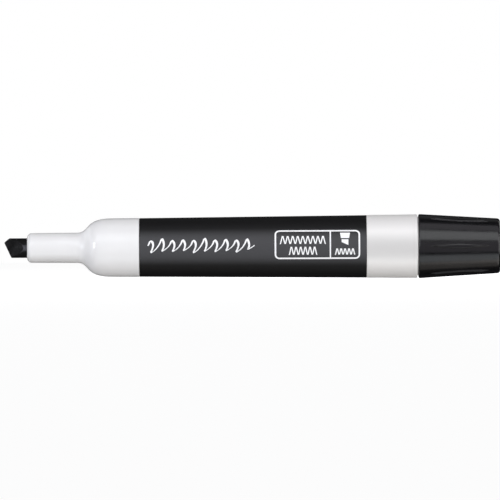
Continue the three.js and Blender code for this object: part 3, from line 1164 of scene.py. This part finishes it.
class MARKER_OT_cap_liner(bpy.types.Operator):
    """Build the inner tube that closes round the neck"""

    bl_idname = "marker.cap_liner"
    bl_label = "Cap liner"

    def execute(self, context):
        settings = context.scene.marker_cap
        bore = settings.liner_bore
        outer = bore + settings.liner_wall
        flange_front = LINER_REAR - settings.liner_flange
        corners = [
            (LINER_FRONT, bore, 2 * SMALL_EDGE),
            (LINER_FRONT, outer, SMALL_EDGE),
            (flange_front, outer, SOFT_EDGE),
            (flange_front, FLANGE_RADIUS, SMALL_EDGE),
            (LINER_REAR, FLANGE_RADIUS, FINE_EDGE),
            (LINER_REAR, bore, FINE_EDGE),
        ]
        rows = 40
        margin = 1.0 * MM
        for row in range(rows + 1):
            x = LINER_REAR - margin - (LINER_REAR - LINER_FRONT - 2 * margin) * row / rows
            corners.append((x, bore, 0))
        rings = (LINER_FRONT + 2.2 * MM, LINER_FRONT + 4.4 * MM)
        ring_reach = 0.45 * MM

        def lips(x, r, angle):
            """Two soft rings that seal on the neck."""
            if r > bore + settings.liner_wall / 2:
                return r
            near = max(math.exp(-(((x - ring) / ring_reach) ** 2)) for ring in rings)
            return r - settings.lip_height * near

        liner = turned("cap_inner_seal", soften(corners), sides=160, shape=lips)
        plastic = moulded_white("white liner plastic", settings.liner, LINER_ROUGHNESS)
        finish_piece(liner, plastic, CAP_BODY, "liner_plastic", "cap_liner")
        return {"FINISHED"}


# ---- stage ----

# Each soft light: name, elevation seen from the marker (degrees up from the camera's side),
# azimuth (degrees towards the cap), half its height as an angle, length in metres, brightness, colour
LIGHTS = (
    ("upper_softbox", 41, 0, 18, 0.9, 2.15, (0.98, 1.0, 1.02)),
    ("lower_softbox", -47, 0, 13, 0.9, 1.35, (0.94, 1.0, 1.04)),
    ("front_fill", -3, 0, 21, 0.9, 0.5, (1.0, 0.95, 1.05)),
    ("top_softbox", 78, 0, 14, 0.9, 0.75, (1.0, 0.96, 1.04)),
    ("bottom_bounce", -78, 0, 16, 0.9, 0.46, (1.05, 0.97, 0.9)),
    ("left_wall", 0, -78, 22, 0.25, 0.7, (0.93, 0.95, 1.06)),
    ("right_wall", 4, 66, 24, 0.4, 2.25, (1.0, 1.0, 1.0)),
    ("low_left", -52, -62, 16, 0.3, 0.7, (1.03, 0.98, 0.93)),
    ("low_right", -52, 62, 16, 0.3, 1.3, (1.03, 0.98, 0.93)),
    ("left_window", 9, -55, 10, 0.07, 17.0, (0.95, 0.97, 1.05)),
    ("back_left", 14, -122, 20, 0.4, 1.1, (1.0, 1.0, 1.0)),
    ("back_right", 14, 122, 20, 0.4, 1.1, (1.0, 1.0, 1.0)),
    ("back_fill", 50, 180, 12, 0.9, 0.12, (1.0, 1.0, 1.0)),
)


def aim(item, target):
    """Turns a light to face a place."""
    item.rotation_euler = (target - item.location).to_track_quat("-Z", "Y").to_euler()


def add_light(name, elevation, azimuth, half_angle, run, brightness, tint, distance):
    """A flat soft light that shows the marker one even brightness."""
    up, turn = math.radians(elevation), math.radians(azimuth)
    away = Vector((math.sin(turn) * math.cos(up), -math.cos(turn) * math.cos(up), math.sin(up)))
    height = 2 * distance * math.tan(math.radians(half_angle))
    data = bpy.data.lights.new(name, "AREA")
    data.shape = "RECTANGLE"
    data.size = run
    data.size_y = height
    data.energy = brightness * math.pi * run * height
    data.color = tint
    lamp = bpy.data.objects.new(name, data)
    middle = Vector((0.0, 0.0, AXIS_Z))
    lamp.location = middle + away * distance
    aim(lamp, middle)
    lamp.visible_camera = False
    bpy.context.scene.collection.objects.link(lamp)


def add_camera(settings):
    """A long lens square to the marker's side."""
    data = bpy.data.cameras.new("camera")
    data.sensor_width = 36.0
    data.lens = data.sensor_width * settings.camera_distance / settings.view_width
    data.clip_start = 0.01
    data.clip_end = 50.0
    camera = bpy.data.objects.new("camera", data)
    target = Vector((settings.aim_x, 0.0, AXIS_Z - settings.aim_below))
    camera.location = target + Vector((0.0, -settings.camera_distance, 0.0))
    camera.rotation_euler = (math.pi / 2, settings.roll, 0.0)
    bpy.context.scene.collection.objects.link(camera)
    bpy.context.scene.camera = camera


def add_floor(settings):
    """A pale sheet that only the camera sees, so it throws no light on the marker."""
    half = settings.floor_size / 2
    bm = bmesh.new()
    bmesh.ops.create_grid(bm, x_segments=8, y_segments=8, size=half)
    floor = from_bmesh("floor", bm)
    floor.data.materials.append(pale_floor("pale floor", settings.floor))
    floor.visible_glossy = False
    floor.visible_diffuse = False
    floor.visible_shadow = False


def set_backdrop():
    """White behind the marker, while the marker itself sees a dim studio."""
    white = (1.0, 1.0, 1.0, 1.0)
    dusk = (0.02, 0.02, 0.022, 1.0)
    world = bpy.data.worlds.new("studio")
    bpy.context.scene.world = world
    world.use_nodes = True
    nodes, links = world.node_tree.nodes, world.node_tree.links
    nodes.clear()
    path = nodes.new("ShaderNodeLightPath")
    mix = nodes.new("ShaderNodeMixShader")
    out = nodes.new("ShaderNodeOutputWorld")
    links.new(path.outputs["Is Camera Ray"], mix.inputs["Fac"])
    for socket, tone in ((1, dusk), (2, white)):
        background = nodes.new("ShaderNodeBackground")
        background.inputs["Color"].default_value = tone
        links.new(background.outputs["Background"], mix.inputs[socket])
    links.new(mix.outputs["Shader"], out.inputs["Surface"])


class MARKER_OT_stage(bpy.types.Operator):
    """Set the floor, the lights and the camera"""

    bl_idname = "marker.stage"
    bl_label = "Stage"

    def execute(self, context):
        settings = context.scene.marker_stage
        context.scene.view_settings.view_transform = "Standard"
        add_camera(settings)
        add_floor(settings)
        set_backdrop()
        for row in LIGHTS:
            add_light(*row, settings.light_distance)
        return {"FINISHED"}


# ---- the add-on ----

SETTINGS = {
    "marker_nib": NibSettings,
    "marker_front": FrontSettings,
    "marker_barrel": BarrelSettings,
    "marker_label": LabelSettings,
    "marker_reservoir": ReservoirSettings,
    "marker_plug": PlugSettings,
    "marker_cap": CapSettings,
    "marker_stage": StageSettings,
}

OPERATORS = (
    MARKER_OT_nib,
    MARKER_OT_front_section,
    MARKER_OT_barrel,
    MARKER_OT_label,
    MARKER_OT_label_print,
    MARKER_OT_reservoir,
    MARKER_OT_tail_plug,
    MARKER_OT_cap,
    MARKER_OT_cap_liner,
    MARKER_OT_stage,
)


class MARKER_PT_pieces(bpy.types.Panel):
    """Lists the marker's pieces in the sidebar"""

    bl_idname = "MARKER_PT_pieces"
    bl_label = "Whiteboard Marker"
    bl_space_type = "VIEW_3D"
    bl_region_type = "UI"
    bl_category = "Marker"

    def draw(self, context):
        for operator in OPERATORS:
            self.layout.operator(operator.bl_idname)


CLASSES = (*SETTINGS.values(), *OPERATORS, MARKER_PT_pieces)


def register():
    """Adds the settings, the operators and the panel to Blender."""
    for item in CLASSES:
        bpy.utils.register_class(item)
    for name, group in SETTINGS.items():
        setattr(bpy.types.Scene, name, bpy.props.PointerProperty(type=group))


def unregister():
    """Takes them away again."""
    for name in SETTINGS:
        delattr(bpy.types.Scene, name)
    for item in reversed(CLASSES):
        bpy.utils.unregister_class(item)


def main():
    """Builds every piece and the stage."""
    register()
    bpy.ops.marker.nib()
    bpy.ops.marker.front_section()
    bpy.ops.marker.barrel()
    bpy.ops.marker.label()
    bpy.ops.marker.label_print()
    bpy.ops.marker.reservoir()
    bpy.ops.marker.tail_plug()
    bpy.ops.marker.cap()
    bpy.ops.marker.cap_liner()
    bpy.ops.marker.stage()


if __name__ == "__main__":
    main()
